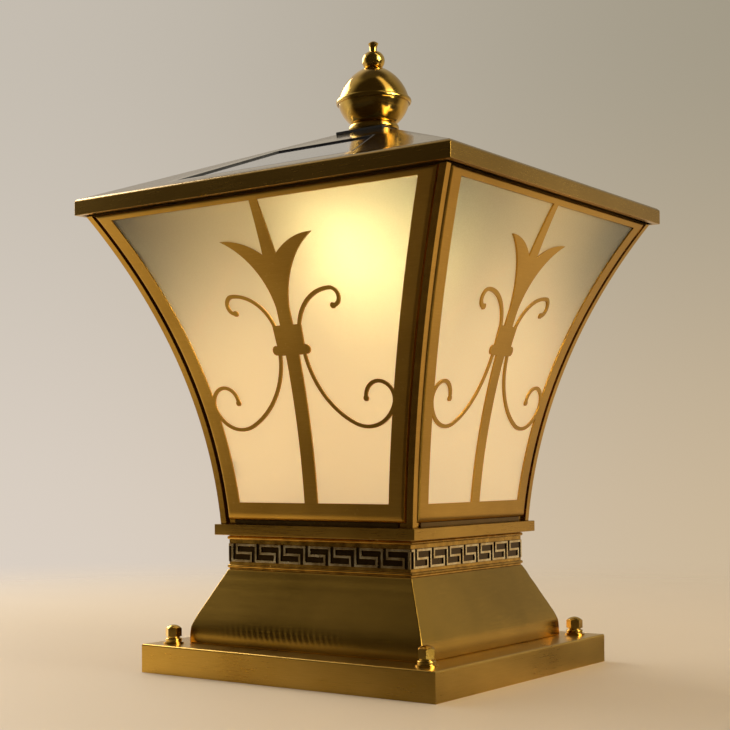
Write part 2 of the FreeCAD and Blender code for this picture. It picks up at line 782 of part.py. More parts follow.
def build_clips():
    """Saves the clips and their screws, and returns the front pane's screws."""
    clips = []
    screws = []
    for clip_foot_z in (panel_foot_z + clip_foot_inset, body_top_z - clip_head_inset - clip_width):
        clips += clip_pair(clip_foot_z)
        screws += [clip_screw(side, clip_foot_z + clip_width / 2) for side in (-1, 1)]
    pierced = [clip.cut(Part.makeCompound(screws)) for clip in clips]
    save("pane_clips", four(Part.makeCompound(pierced)))
    save("clip_screws", four(Part.makeCompound(screws)))
    return screws


# ---- top ring, hanger, lamp and electrics ----
def build_inside():
    ring = square_ring(ring_width, ring_opening, body_top_z, ring_top_z)

    foot_end = ring_opening / 2 + hanger_foot
    leg_foot = ring_opening / 2 - hanger_thickness
    leg_top = hanger_top_length / 2
    low, high = ring_top_z, hanger_top_z
    t = hanger_thickness
    profile = [(foot_end, low), (leg_foot, low), (leg_top, high - t), (-leg_top, high - t), (-leg_foot, low),
               (-foot_end, low), (-foot_end, low + t), (-leg_foot - t, low + t), (-leg_top, high),
               (leg_top, high), (leg_foot + t, low + t), (foot_end, low + t), (foot_end, low)]
    half = hanger_width / 2
    hanger = Part.Face(Part.makePolygon([Vector(x, -half, z) for x, z in profile]))
    hanger = hanger.extrude(Vector(0, hanger_width, 0))
    hanger = hanger.cut(rod(tube_radius + slide_gap, high - 2 * t, high + t))

    tray_half = tray_width / 2
    tray = box(-tray_half, tray_half, -foot_end, foot_end, ring_top_z, tray_top_z)
    tray = tray.cut(rod(tray_lamp_hole_radius, ring_top_z - sheet, tray_top_z + sheet))

    save("top_ring", drilled(ring, ring_screws()))
    save("hanger_strap", drilled(hanger, ring_screws()))
    save("electrics_tray", drilled(tray, ring_screws()))

    tube_foot = hanger_top_z - t - tube_nut_height
    tube_top = dome_top_z + tube_into_knob
    tube = rod(tube_radius, tube_foot, tube_top)
    tube = tube.cut(rod(tube_bore_radius, tube_foot - sheet, tube_top + sheet))
    save("hanger_tube", tube)
    under_nut = hexagon(tube_nut_across_flats, tube_foot, hanger_top_z - t)
    top_nut = hexagon(tube_nut_across_flats, hanger_top_z, hanger_top_z + tube_nut_height)
    save("tube_nuts", Part.makeCompound([under_nut, top_nut]).cut(rod(tube_radius, tube_foot, tube_top)))

    holder_top = tube_foot
    holder_foot = holder_top - holder_height
    bore_top = holder_top - holder_roof
    holder = rod(holder_radius, holder_foot, holder_top)
    holder = holder.makeFillet(sheet, holder.Edges[:1])
    holder = holder.cut(rod(holder_bore_radius, holder_foot - sheet, bore_top))
    shell_outer = holder_bore_radius - running_gap
    shell = rod(shell_outer, holder_foot + sheet, bore_top)
    shell = shell.cut(rod(shell_outer - shell_wall, holder_foot, bore_top - shell_wall))
    save("lampholder", holder)

    cap_top = bore_top - lamp_cap_gap
    cap_foot = cap_top - lamp_cap_length
    contact_foot = cap_top + lamp_contact_height + flat_gap
    contact = rod(lamp_contact_radius, contact_foot, bore_top - shell_wall)
    save("holder_contacts", Part.makeCompound([shell, contact]))
    cap = rod(lamp_cap_radius, cap_foot, cap_top)
    cap = cap.fuse(rod(lamp_contact_radius, cap_top, cap_top + lamp_contact_height)).removeSplitter()
    save("lamp_cap", cap)

    collar_foot = cap_foot - lamp_collar_length
    globe_z = collar_foot - globe_neck_drop
    mouth_half = math.sqrt(globe_radius ** 2 - globe_neck_drop ** 2)
    collar_edges = [line((0, 0, cap_foot), (lamp_cap_radius, 0, cap_foot)),
                    bowed((mouth_half, 0, collar_foot), (lamp_cap_radius, 0, cap_foot), lamp_collar_bow),
                    line((mouth_half, 0, collar_foot), (0, 0, collar_foot)),
                    line((0, 0, collar_foot), (0, 0, cap_foot))]
    save("lamp_collar", spun(collar_edges))
    ball = Part.makeSphere(globe_radius, Vector(0, 0, globe_z))
    ball = ball.cut(Part.makeSphere(globe_radius - globe_wall, Vector(0, 0, globe_z)))
    ball = ball.cut(block(2 * far, collar_foot, collar_foot + far))
    save("lamp_globe", ball)

    cell_pitch = 2 * (battery_cell_radius + flat_gap)
    pack_width = battery_cells * cell_pitch + 2 * battery_wall
    pack_length = battery_cell_length + 2 * (battery_wall + flat_gap)
    pack_height = 2 * battery_cell_radius + 2 * flat_gap + battery_wall
    pack = box(-pack_length / 2, pack_length / 2, -box_offset - pack_width / 2, -box_offset + pack_width / 2,
               tray_top_z, tray_top_z + pack_height)
    hollow = box(-pack_length / 2 + battery_wall, pack_length / 2 - battery_wall,
                 -box_offset - pack_width / 2 + battery_wall, -box_offset + pack_width / 2 - battery_wall,
                 tray_top_z + battery_wall, tray_top_z + pack_height + sheet)
    save("battery_box", pack.cut(hollow))
    cells = []
    cell_z = tray_top_z + battery_wall + flat_gap + battery_cell_radius
    for number in range(battery_cells):
        y = -box_offset + (number - (battery_cells - 1) / 2) * cell_pitch
        cells.append(Part.makeCylinder(battery_cell_radius, battery_cell_length,
                                       Vector(-battery_cell_length / 2, y, cell_z), Vector(1, 0, 0)))
    save("battery_cells", Part.makeCompound(cells))

    case_top = tray_top_z + controller_height
    half_length, half_wide = controller_length / 2, controller_width / 2
    case = box(-half_length, half_length, box_offset - half_wide, box_offset + half_wide,
               tray_top_z, case_top)
    case = case.cut(box(-half_length + controller_wall, half_length - controller_wall,
                        box_offset - half_wide + controller_wall, box_offset + half_wide - controller_wall,
                        tray_top_z + controller_wall, case_top - controller_wall))
    case = case.cut(rod(button_radius + slide_gap, case_top - 2 * controller_wall, case_top + sheet,
                        0, box_offset))
    save("controller_case", case)
    under_lid = case_top - controller_wall
    button = rod(button_radius, under_lid - button_travel, case_top + button_proud, 0, box_offset)
    flange_foot = under_lid - flat_gap - button_flange
    button = button.fuse(rod(button_radius + sheet, flange_foot, flange_foot + button_flange, 0, box_offset))
    save("mode_button", button.removeSplitter())
    board_top = flange_foot - button_travel - flat_gap
    board_width = half_wide - controller_wall - flat_gap
    board_length = half_length - controller_wall - flat_gap
    board = box(-board_length, board_length, box_offset - board_width, box_offset + board_width,
                tray_top_z + controller_wall, tray_top_z + controller_wall + board_thickness)
    board = board.fuse(rod(button_radius, tray_top_z + controller_wall, board_top, 0, box_offset))
    save("controller_board", board.removeSplitter())


# ---- roof ----
def on_front_slope(shape):
    """Places a shape drawn with X along the eave, Y up the slope and Z out of it."""
    placed = shape.copy()
    placed.rotate(Vector(0, 0, 0), Vector(1, 0, 0), math.degrees(slope_angle))
    placed.translate(Vector(0, -roof_width / 2, eave_z))
    return placed


def solar_half_width(along, grow):
    narrowing = (solar_foot_half_width - solar_head_half_width) / solar_length
    return solar_foot_half_width - narrowing * (along - solar_edge) + grow * math.hypot(1, narrowing)


def solar_prism(grow, low, high):
    """The panel's four-sided outline, grown outwards, between two heights over the slope."""
    foot = solar_edge - grow
    head = solar_edge + solar_length + grow
    wide, narrow = solar_half_width(foot, grow), solar_half_width(head, grow)
    outline = Part.makePolygon([Vector(-wide, foot, low), Vector(wide, foot, low), Vector(narrow, head, low),
                                Vector(-narrow, head, low), Vector(-wide, foot, low)])
    return Part.Face(outline).extrude(Vector(0, 0, high - low))


def build_roof():
    bend_z = eave_z - rim_bend * (1 - slope_per_mm)
    inner_width = roof_width - 2 * sheet
    inner_eave = eave_z + sheet * slope_per_mm - sheet_drop
    inner_top_z = roof_top_z - sheet
    inner_top_width = inner_width - 2 * (inner_top_z - inner_eave) / slope_per_mm
    knuckle_width = roof_width - 2 * rim_bend
    knuckle_z = eave_z + rim_bend * slope_per_mm
    outer = joined([block(roof_width, rim_foot_z, bend_z),
                    frustum(roof_width, bend_z, knuckle_width, knuckle_z),
                    frustum(knuckle_width, knuckle_z, roof_top_width, roof_top_z)])
    inner = block(inner_width, rim_foot_z + sheet, inner_eave)
    inner = inner.fuse(frustum(inner_width, inner_eave, inner_top_width, inner_top_z))
    roof = outer.cut(inner)
    roof = roof.cut(block(inner_width - 2 * rim_return, rim_foot_z - sheet, rim_foot_z + 2 * sheet))
    roof = roof.cut(rod(tube_radius + hole_gap, inner_top_z - sheet, roof_top_z + sheet))
    opening = on_front_slope(solar_prism(0, -2 * sheet, sheet))
    for quarter in range(4):
        roof = roof.cut(turned(opening, quarter))
    save("roof_pan", roof)

    seat = square_tube(roof_seat_width, roof_seat_wall, ring_top_z, roof_top_z)
    save("roof_seat", seat.common(inner.fuse(block(roof_seat_width, ring_top_z, inner_eave))))

    under = -sheet
    face = -solar_recess
    seal = solar_prism(solar_overlap, face, under)
    seal = seal.fuse(solar_prism(-running_gap, face, 0))
    seal = seal.cut(solar_prism(-seal_lip, face - sheet, sheet))
    seal = seal.removeSplitter()
    panel = solar_prism(solar_overlap, face - solar_thickness, face)
    strap_along = solar_edge + solar_length / 2
    strap_half = solar_half_width(strap_along - strap_width / 2, solar_overlap) + hole_gap + strap_foot
    strap_top = face - solar_thickness
    strap = box(-strap_half, strap_half, strap_along - strap_width / 2, strap_along + strap_width / 2,
                strap_top - strap_thickness, strap_top)
    for side in (-1, 1):
        x1, x2 = sorted((side * strap_half, side * (strap_half - strap_foot)))
        strap = strap.fuse(box(x1, x2, strap_along - strap_width / 2, strap_along + strap_width / 2,
                               strap_top - strap_thickness, under))
    strap = strap.removeSplitter()
    for quarter, name in enumerate(faces):
        save("solar_panel_" + name, turned(on_front_slope(panel), quarter))
    save("solar_seals", four(on_front_slope(seal)))
    save("solar_straps", four(on_front_slope(strap)))


# ---- finial ----
def build_finial():
    clear = tube_radius + hole_gap
    gasket = block(roof_top_width, roof_top_z, finial_foot_z)
    gasket = gasket.cut(rod(clear, roof_top_z - sheet, finial_foot_z + sheet))
    save("finial_gasket", gasket)

    foot_neck = bowl_foot_radius - sheet
    foot_middle = (finial_foot_z + bowl_foot_z) / 2
    foot_edges = [line((clear, 0, finial_foot_z), (foot_neck, 0, finial_foot_z)),
                  arc((foot_neck, 0, finial_foot_z), (foot_radius, 0, foot_middle),
                      (foot_neck, 0, bowl_foot_z)),
                  line((foot_neck, 0, bowl_foot_z), (clear, 0, bowl_foot_z)),
                  line((clear, 0, bowl_foot_z), (clear, 0, finial_foot_z))]
    save("finial_foot", spun(foot_edges))

    half_band = band_height / 2
    bowl_top = band_z
    bowl_edges = [line((clear, 0, bowl_foot_z), (bowl_foot_radius, 0, bowl_foot_z)),
                  bowed((bowl_foot_radius, 0, bowl_foot_z), (ball_radius, 0, bowl_top), bowl_bow),
                  line((ball_radius, 0, bowl_top), (ball_radius - spun_wall, 0, bowl_top)),
                  bowed((ball_radius - spun_wall, 0, bowl_top),
                        (bowl_foot_radius - spun_wall, 0, bowl_foot_z + spun_wall), bowl_bow),
                  line((bowl_foot_radius - spun_wall, 0, bowl_foot_z + spun_wall),
                       (clear, 0, bowl_foot_z + spun_wall)),
                  line((clear, 0, bowl_foot_z + spun_wall), (clear, 0, bowl_foot_z))]
    save("finial_bowl", spun(bowl_edges))

    dome_edges = [line((ball_radius - spun_wall, 0, band_z), (ball_radius, 0, band_z)),
                  bowed((ball_radius, 0, band_z), (dome_top_radius, 0, dome_top_z), dome_bow),
                  line((dome_top_radius, 0, dome_top_z), (clear, 0, dome_top_z)),
                  line((clear, 0, dome_top_z), (clear, 0, dome_top_z - spun_wall)),
                  line((clear, 0, dome_top_z - spun_wall),
                       (dome_top_radius - spun_wall, 0, dome_top_z - spun_wall)),
                  bowed((dome_top_radius - spun_wall, 0, dome_top_z - spun_wall),
                        (ball_radius - spun_wall, 0, band_z), dome_bow)]
    save("finial_dome", spun(dome_edges))

    inside = ball_radius + running_gap
    rim = (band_radius + inside) / 2
    band_edges = [line((inside, 0, band_z - half_band), (rim, 0, band_z - half_band)),
                  arc((rim, 0, band_z - half_band), (band_radius, 0, band_z), (rim, 0, band_z + half_band)),
                  line((rim, 0, band_z + half_band), (inside, 0, band_z + half_band)),
                  line((inside, 0, band_z + half_band), (inside, 0, band_z - half_band))]
    save("finial_band", spun(band_edges))

    thread = tube_radius + running_gap
    thread_top = dome_top_z + tube_into_knob + flat_gap
    knob_middle = (dome_top_z + knob_top_z) / 2
    tip_top = knob_top_z + tip_height
    tip_edge = tip_top - tip_crown
    knob_edges = [line((thread, 0, dome_top_z), (knob_end_radius, 0, dome_top_z)),
                  arc((knob_end_radius, 0, dome_top_z), (knob_radius, 0, knob_middle),
                      (tip_neck_radius, 0, knob_top_z)),
                  bowed((tip_neck_radius, 0, knob_top_z), (tip_radius, 0, tip_edge), -tip_waist),
                  crown(tip_radius, tip_edge, tip_top),
                  line((0, 0, tip_top), (0, 0, thread_top)),
                  line((0, 0, thread_top), (thread, 0, thread_top)),
                  line((thread, 0, thread_top), (thread, 0, dome_top_z))]
    save("finial_knob", spun(knob_edges))


build_base()
build_skirt()
build_neck()
build_ledge()
build_panels()
build_posts(build_clips())
build_inside()
build_roof()
build_finial()
save("sheet_screws", Part.makeCompound([skirt_screws(), neck_screws(), plinth_screws(), ring_screws()]))
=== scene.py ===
import json
import math

import bmesh
import bpy
from mathutils import Matrix, Vector, noise


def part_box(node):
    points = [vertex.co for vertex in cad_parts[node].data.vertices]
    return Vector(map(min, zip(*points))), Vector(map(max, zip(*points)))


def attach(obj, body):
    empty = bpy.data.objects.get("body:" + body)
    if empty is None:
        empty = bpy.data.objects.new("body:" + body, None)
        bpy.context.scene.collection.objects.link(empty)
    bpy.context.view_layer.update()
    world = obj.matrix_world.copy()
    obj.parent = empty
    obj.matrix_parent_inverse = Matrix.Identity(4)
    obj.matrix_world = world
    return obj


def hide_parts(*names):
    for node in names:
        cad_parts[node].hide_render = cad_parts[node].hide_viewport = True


# Square brass pillar-top lantern: its finishes, its lamp's glow and the sheet edges that a plain
# model leaves sharp. Metres, in the frame's own axes: -Y is the front face, +X the right face.

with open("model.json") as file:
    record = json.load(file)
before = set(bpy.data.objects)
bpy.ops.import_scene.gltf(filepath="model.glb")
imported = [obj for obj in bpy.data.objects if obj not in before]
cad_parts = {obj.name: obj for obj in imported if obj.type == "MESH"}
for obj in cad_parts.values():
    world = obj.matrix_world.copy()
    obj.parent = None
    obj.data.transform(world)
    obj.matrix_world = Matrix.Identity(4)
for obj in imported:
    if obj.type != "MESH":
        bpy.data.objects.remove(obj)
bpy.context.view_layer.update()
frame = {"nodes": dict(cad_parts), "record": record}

mm = 0.001
FACES = ("front", "right", "back", "left")
slots = {part["node"]: part["material_slot"] for part in frame["record"]["subparts"]}
bodies = frame["record"]["behaviour"]["bodies"]
body_of = {node: body for body, nodes in bodies.items() for node in nodes}


def low(node):
    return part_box(node)[0]


def high(node):
    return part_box(node)[1]


# ---- sizes that several pieces share ----
weld = 0.001 * mm
nearly = 10 * weld
sliver = 0.03 * mm
flare_radius = 624.6 * mm
flare_centre_out = 723.0 * mm
flare_centre_z = 88.2 * mm
panel_margin = 8.5 * mm
panel_edge_depth = 3.0 * mm
panel_foot_z = low("lattice_panel_front").z
panel_top_z = high("lattice_panel_front").z
pane_foot_z = low("frosted_pane_front").z
pane_top_z = high("frosted_pane_front").z
lamp_z = (low("lamp_globe").z + high("lamp_globe").z) / 2
roof_rise = 63 * mm
eave_z = high("roof_pan").z - roof_rise
key_ridge_out = 1.5 * mm
key_relief = 1.0 * mm
key_plate_half = high("key_band_right").x - key_ridge_out
key_border = 6.8 * mm
key_pattern_height = 16 * mm
key_foot_z = low("key_band_front").z + key_border
key_top_z = key_foot_z + key_pattern_height


# ---- camera: the photo's place, with a small shift for its framing ----
PHOTO_PIXELS = 730
focal_pixels = 1458.5
principal_point = (255, 450)
sensor_width_mm = 36
view_turn = math.radians(37.95)
view_pitch = math.radians(0.63)
view_roll = math.radians(0.37)
view_distance = 1316.4 * mm
view_height = 181.4 * mm
view_sideways = -109.4 * mm
toward_camera = Vector((math.sin(view_turn), -math.cos(view_turn), 0))
camera_right = Vector((math.cos(view_turn), math.sin(view_turn), 0))


def place_camera():
    data = bpy.data.cameras.new("photo_camera")
    camera = bpy.data.objects.new("photo_camera", data)
    bpy.context.scene.collection.objects.link(camera)
    bpy.context.scene.camera = camera
    data.sensor_width = sensor_width_mm
    data.lens = focal_pixels * sensor_width_mm / PHOTO_PIXELS
    data.shift_x = (PHOTO_PIXELS / 2 - principal_point[0]) / PHOTO_PIXELS
    data.shift_y = (principal_point[1] - PHOTO_PIXELS / 2) / PHOTO_PIXELS
    data.clip_end = 50
    up = Vector((0, 0, 1))
    forward = Matrix.Rotation(view_pitch, 3, camera_right) @ -toward_camera
    camera.location = (toward_camera * view_distance + up * view_height
                       + camera_right * view_sideways)
    level = forward.to_track_quat("-Z", "Y").to_matrix()
    camera.rotation_euler = (Matrix.Rotation(view_roll, 3, forward) @ level).to_euler()


place_camera()


# ---- shader maths ----
class Value:
    """A shader socket that takes part in Python sums."""

    def __init__(self, nodes, socket):
        self.nodes = nodes
        self.socket = socket

    def _math(self, operation, *operands):
        return self.nodes.node("Math", {"operation": operation}, dict(enumerate(operands)))

    def __add__(self, other):
        return self._math("ADD", self, other)

    def __radd__(self, other):
        return self._math("ADD", other, self)

    def __sub__(self, other):
        return self._math("SUBTRACT", self, other)

    def __rsub__(self, other):
        return self._math("SUBTRACT", other, self)

    def __mul__(self, other):
        return self._math("MULTIPLY", self, other)

    def __rmul__(self, other):
        return self._math("MULTIPLY", other, self)

    def __pow__(self, other):
        return self._math("POWER", self, other)

    def __abs__(self):
        return self._math("ABSOLUTE", self)

    def larger(self, other):
        return self._math("MAXIMUM", self, other)

    def smaller(self, other):
        return self._math("MINIMUM", self, other)

    def back_and_forth(self, reach):
        """Rises from 0 to reach and falls back, over and over."""
        return self._math("PINGPONG", self, reach)

    def ramp(self, start, end):
        """0 at start, 1 at end, smooth between and level outside."""
        if start > end:
            return 1.0 - self.ramp(end, start)
        inputs = {"Value": self, "From Min": start, "From Max": end}
        return self.nodes.node("MapRange", {"interpolation_type": "SMOOTHSTEP"}, inputs)


class Nodes:
    """A node tree that is filled by Python expressions."""

    def __init__(self, tree):
        self.tree = tree

    def feed(self, socket, value):
        if isinstance(value, Value):
            self.tree.links.new(value.socket, socket)
        else:
            socket.default_value = value

    def node(self, kind, settings, inputs, output=0):
        made = self.tree.nodes.new("ShaderNode" + kind)
        for name, value in settings.items():
            setattr(made, name, value)
        for name, value in inputs.items():
            self.feed(made.inputs[name], value)
        return Value(self, made.outputs[output])

    def mix(self, factor, first, second):
        """Colours mixed by factor; a Mix node's colour sockets are known by number alone."""
        return self.node("Mix", {"data_type": "RGBA"}, {0: factor, 6: first, 7: second}, 2)

    def ray(self, kind):
        return self.node("LightPath", {}, {}, "Is " + kind + " Ray")


class Finish(Nodes):
    """A material with one Principled shader."""

    def __init__(self, name, **constants):
        self.material = bpy.data.materials.new(name)
        self.material.use_nodes = True
        super().__init__(self.material.node_tree)
        self.shader = self.tree.nodes["Principled BSDF"]
        for socket, value in constants.items():
            self.shader.inputs[socket.replace("_", " ")].default_value = value

    def here(self):
        """Object coordinates in metres."""
        return self.node("TexCoord", {}, {}, "Object")

    def axes(self):
        split = self.node("SeparateXYZ", {}, {"Vector": self.here()})
        return [Value(self, output) for output in split.socket.node.outputs]

    def noise(self, scale, detail=2.0, roughness=0.5, squeeze=(1, 1, 1)):
        """Noise over the piece, squeezed along single axes for brush or lathe lines."""
        where = self.node("Mapping", {}, {"Vector": self.here(), "Scale": squeeze})
        inputs = {"Vector": where, "Scale": scale, "Detail": detail, "Roughness": roughness}
        return self.node("TexNoise", {}, inputs, "Fac")

    def give(self, socket, value):
        self.feed(self.shader.inputs[socket], value)

    def given(self, socket):
        """What already feeds a socket of the shader."""
        return Value(self, self.shader.inputs[socket].links[0].from_socket)

    def bump(self, height, distance):
        self.give("Normal", self.node("Bump", {}, {"Height": height, "Distance": distance}))

    def show_mixed(self, factor, other):
        """The surface turns from its own shader to the other one as factor rises."""
        own = Value(self, self.shader.outputs[0])
        blend = self.node("MixShader", {}, {0: factor, 1: own, 2: other})
        self.tree.links.new(blend.socket, self.tree.nodes["Material Output"].inputs["Surface"])


def shade(*colour):
    return (*colour, 1.0)


# ---- metal finishes ----
deep_brass = shade(0.40, 0.225, 0.035)
warm_brass = shade(0.62, 0.37, 0.07)
pale_brass = shade(0.78, 0.53, 0.14)
brush_depth = 0.1 * mm


def brushed_brass(name, rough=0.3, uneven=0.16, grain=(1, 1, 26),
                  dark=deep_brass, mid=warm_brass):
    """Satin sheet brass: a slow cloud of tarnish, fine brush lines and a few pale specks."""
    finish = Finish(name, Metallic=1.0)
    streaks = finish.noise(55, 4, 0.6, grain)
    clouds = finish.noise(7, 3, 0.55)
    specks = finish.noise(300, 2, 0.6)
    tarnish = (clouds * 0.8 + streaks * 0.2).ramp(0.25, 0.72)
    colour = finish.mix(tarnish, dark, mid)
    finish.give("Base Color", finish.mix(specks.ramp(0.62, 0.78) * 0.25, colour, pale_brass))
    finish.give("Roughness", (streaks + clouds - 1.0) * uneven + rough)
    finish.bump(streaks, brush_depth * uneven)
    return finish


def roof_brass():
    """The roof: brushed rims below slopes that are polished like a dull mirror."""
    finish = brushed_brass("roof_brass", dark=shade(0.34, 0.20, 0.035),
                           mid=shade(0.54, 0.33, 0.07))
    rim = finish.given("Base Color")
    x, y, z = finish.axes()
    slope = z.ramp(eave_z - 2 * mm, eave_z + 3 * mm)
    streaks = finish.noise(50, 3, 0.6, (1, 1, 20))
    sheen = finish.mix(streaks.ramp(0.3, 0.7), shade(0.34, 0.235, 0.085), shade(0.50, 0.37, 0.15))
    finish.give("Base Color", finish.mix(slope, rim, sheen))
    finish.give("Roughness", (streaks - 0.5) * 0.08 + 0.26 - slope * 0.13)
    return finish


def key_brass():
    """Key band: painted shade in the recesses, a painted glint on the pale raised lines."""
    finish = Finish("key_brass", Metallic=1.0)
    x, y, z = finish.axes()
    outward = abs(x).larger(abs(y))
    raised = outward.ramp(key_plate_half + key_relief / 4, key_plate_half + key_relief * 3 / 4)
    fade = 0.6 * mm
    in_zone = z.ramp(key_foot_z - fade, key_foot_z) * z.ramp(key_top_z + fade, key_top_z)
    wear = finish.noise(130)
    worn = wear.ramp(0.3, 0.7)
    brass = finish.mix(worn, deep_brass, warm_brass)
    line = finish.mix(worn, shade(0.62, 0.46, 0.22), shade(0.86, 0.74, 0.48))
    # painted shade: the recesses near black; painted glint: the raised lines pale
    pattern = finish.mix(raised, shade(0.075, 0.045, 0.015), line)
    finish.give("Base Color", finish.mix(in_zone, brass, pattern))
    finish.give("Roughness", (wear - 0.5) * 0.15 + 0.24)
    finish.bump(wear, 0.02 * mm)
    return finish


def polished_brass():
    """Turned and lacquered brass with faint lathe lines round the axis."""
    finish = Finish("polished_brass", Metallic=1.0, Coat_Weight=0.2, Coat_Roughness=0.08)
    clouds = finish.noise(45, 3)
    lines = finish.noise(900, squeeze=(0.15, 0.15, 1))
    bright = shade(0.74, 0.5, 0.11)
    finish.give("Base Color", finish.mix(clouds.ramp(0.35, 0.7), shade(0.56, 0.34, 0.055), bright))
    finish.give("Roughness", (clouds - 0.5) * 0.08 + (lines - 0.5) * 0.08 + 0.15)
    finish.bump(lines, 0.015 * mm)
    return finish


def zinc_steel():
    """Zinc-coated steel with its spangle."""
    finish = Finish("zinc_steel", Metallic=1.0)
    spangle = finish.noise(160)
    bright = shade(0.62, 0.62, 0.6)
    finish.give("Base Color", finish.mix(spangle.ramp(0.4, 0.6), shade(0.35, 0.35, 0.34), bright))
    finish.give("Roughness", (spangle - 0.5) * 0.2 + 0.35)
    return finish


# ---- glass, lamp and moulded finishes ----
def frosted_glass():
    """Sandblasted cream glass passing a broad blur of the lamp, with a painted lamp glow."""
    finish = Finish("frosted_glass", IOR=1.45, Transmission_Weight=0.6,
                    Coat_Weight=0.3, Coat_Roughness=0.25, Emission_Strength=1.0)
    x, y, z = finish.axes()
    aside = abs(x).smaller(abs(y))
    paler_from_z = pane_foot_z + 145 * mm
    darker_from_z = lamp_z - 170 * mm
    # painted shade: the panes turn greyer and dimmer towards the top and dark in the upper far
    # corners
    shaded_top = z.ramp(paler_from_z, pane_top_z)
    shaded_far_corner = z.ramp(darker_from_z, pane_top_z) * aside.ramp(10 * mm, 165 * mm)
    mottle = finish.noise(14)
    grain = finish.noise(900)
    cream = finish.mix(shaded_top, shade(0.84, 0.70, 0.46), shade(0.66, 0.62, 0.46))
    cream = finish.mix(mottle.ramp(0.3, 0.7) * 0.3, cream, shade(0.86, 0.72, 0.46))
    finish.give("Base Color", finish.mix(shaded_far_corner * 0.8, cream, shade(0.26, 0.26, 0.19)))
    # painted lamp glow: emission standing in for lamp light through the frosting, strongest low
    # down
    painted_lamp_glow = finish.mix(shaded_top, shade(0.35, 0.25, 0.135), shade(0.16, 0.10, 0.025))
    finish.give("Emission Color", finish.mix(shaded_far_corner, painted_lamp_glow, shade(0.0, 0.0, 0.0)))
    finish.give("Roughness", grain.ramp(0.35, 0.65) * 0.3 + 0.6)
    finish.bump(grain, 0.04 * mm)
    inside = finish.node("NewGeometry", {}, {}, "Backfacing")
    blur = finish.node("BsdfRefraction", {}, {"Roughness": 0.8, "IOR": 1.45})
    finish.show_mixed(inside, blur)
    return finish


def lit_globe():
    """The lamp's opal globe, switched on."""
    finish = Finish("opal_globe", Roughness=0.3, Emission_Strength=38.0)
    frosting = finish.noise(60)
    opal = finish.mix(frosting, shade(1.0, 0.95, 0.8), shade(0.95, 0.88, 0.7))
    light = finish.mix(frosting, shade(1.0, 0.84, 0.42), shade(1.0, 0.8, 0.36))
    finish.give("Base Color", opal)
    finish.give("Emission Color", light)
    return finish


def solar_glass():
    """Dark cells with fine silver fingers under plain glass."""
    finish = Finish("solar_glass", Coat_Weight=1.0, Coat_Roughness=0.03)
    x, y, z = finish.axes()
    half_pitch = 1.2 * mm
    finger = abs(x).larger(abs(y)).back_and_forth(half_pitch)
    silver = finger.ramp(half_pitch - 0.15 * mm, half_pitch - 0.05 * mm)
    cell = finish.mix(finish.noise(40), shade(0.012, 0.014, 0.03), shade(0.025, 0.03, 0.05))
    finish.give("Base Color", finish.mix(silver * 0.5, cell, shade(0.3, 0.31, 0.33)))
    finish.give("Roughness", silver * 0.2 + 0.1)
    return finish


def moulded(name, dark, bright, rough, grain=700):
    """Rubber, plastic or ceramic with a fine moulded grain."""
    finish = Finish(name)
    grains = finish.noise(grain)
    finish.give("Base Color", finish.mix(finish.noise(30), dark, bright))
    finish.give("Roughness", (grains - 0.5) * 0.2 + rough)
    finish.bump(grains, 0.03 * mm)
    return finish


# ---- which piece has which finish ----
clean_white = shade(0.85, 0.84, 0.8)
finishes = {
    "antique_brass": brushed_brass("antique_brass"),
    "polished_brass": polished_brass(),
    "frosted_glass": frosted_glass(),
    "solar_glass": solar_glass(),
    "zinc_steel": zinc_steel(),
    "black_rubber": moulded("black_rubber", shade(0.006, 0.006, 0.006),
                            shade(0.015, 0.015, 0.015), 0.6),
    "white_ceramic": moulded("white_ceramic", shade(0.75, 0.74, 0.7), clean_white, 0.2,
                             grain=300),
    "white_plastic": moulded("white_plastic", shade(0.78, 0.77, 0.72), clean_white, 0.35),
    "opal_diffuser": lit_globe(),
    "black_plastic": moulded("black_plastic", shade(0.015, 0.015, 0.015),
                             shade(0.04, 0.04, 0.04), 0.5),
    "green_board": moulded("green_board", shade(0.02, 0.12, 0.05),
                           shade(0.04, 0.22, 0.1), 0.35, grain=200),
    "grey_button": moulded("grey_button", shade(0.25, 0.25, 0.26), shade(0.4, 0.4, 0.41), 0.5),
    "battery_sleeve": moulded("battery_sleeve", shade(0.05, 0.16, 0.4),
                              shade(0.1, 0.25, 0.5), 0.25),
}
own_finishes = {
    "roof_pan": roof_brass(),
    "key_band": key_brass(),
    "corner_post": brushed_brass("post_brass", rough=0.17, grain=(1, 1, 4)),
    "lattice_panel": brushed_brass("fret_brass", uneven=0.06),
    "base_pan": brushed_brass("base_brass", dark=shade(0.48, 0.28, 0.045),
                              mid=shade(0.74, 0.48, 0.11)),
    "skirt": brushed_brass("skirt_brass", rough=0.24, uneven=0.08,
                           dark=shade(0.34, 0.20, 0.03), mid=shade(0.56, 0.34, 0.06)),
    # very dark brass: painted shade on the plinth band, set back under the frames
    "plinth_ring": brushed_brass("plinth_brass", dark=shade(0.10, 0.06, 0.02),
                                 mid=shade(0.2, 0.12, 0.03)),
    "top_ring": brushed_brass("ring_brass", dark=shade(0.30, 0.17, 0.03),
                              mid=shade(0.5, 0.3, 0.06)),
}


def finish_of(node):
    """A piece's own finish where it has one, or else its slot's."""
    for start, finish in own_finishes.items():
        if node.startswith(start):
            return finish.material
    return finishes[slots[node]].material


for node, piece in frame["nodes"].items():
    piece.data.materials.clear()
    piece.data.materials.append(finish_of(node))


# ---- shaping ----
fold_angle = math.radians(40)


def merged_copy(node):
    """The node's mesh as a shape that can be edited, its loose triangles joined."""
    shape = bmesh.new()
    shape.from_mesh(frame["nodes"][node].data)
    bmesh.ops.remove_doubles(shape, verts=shape.verts, dist=weld)
    return shape


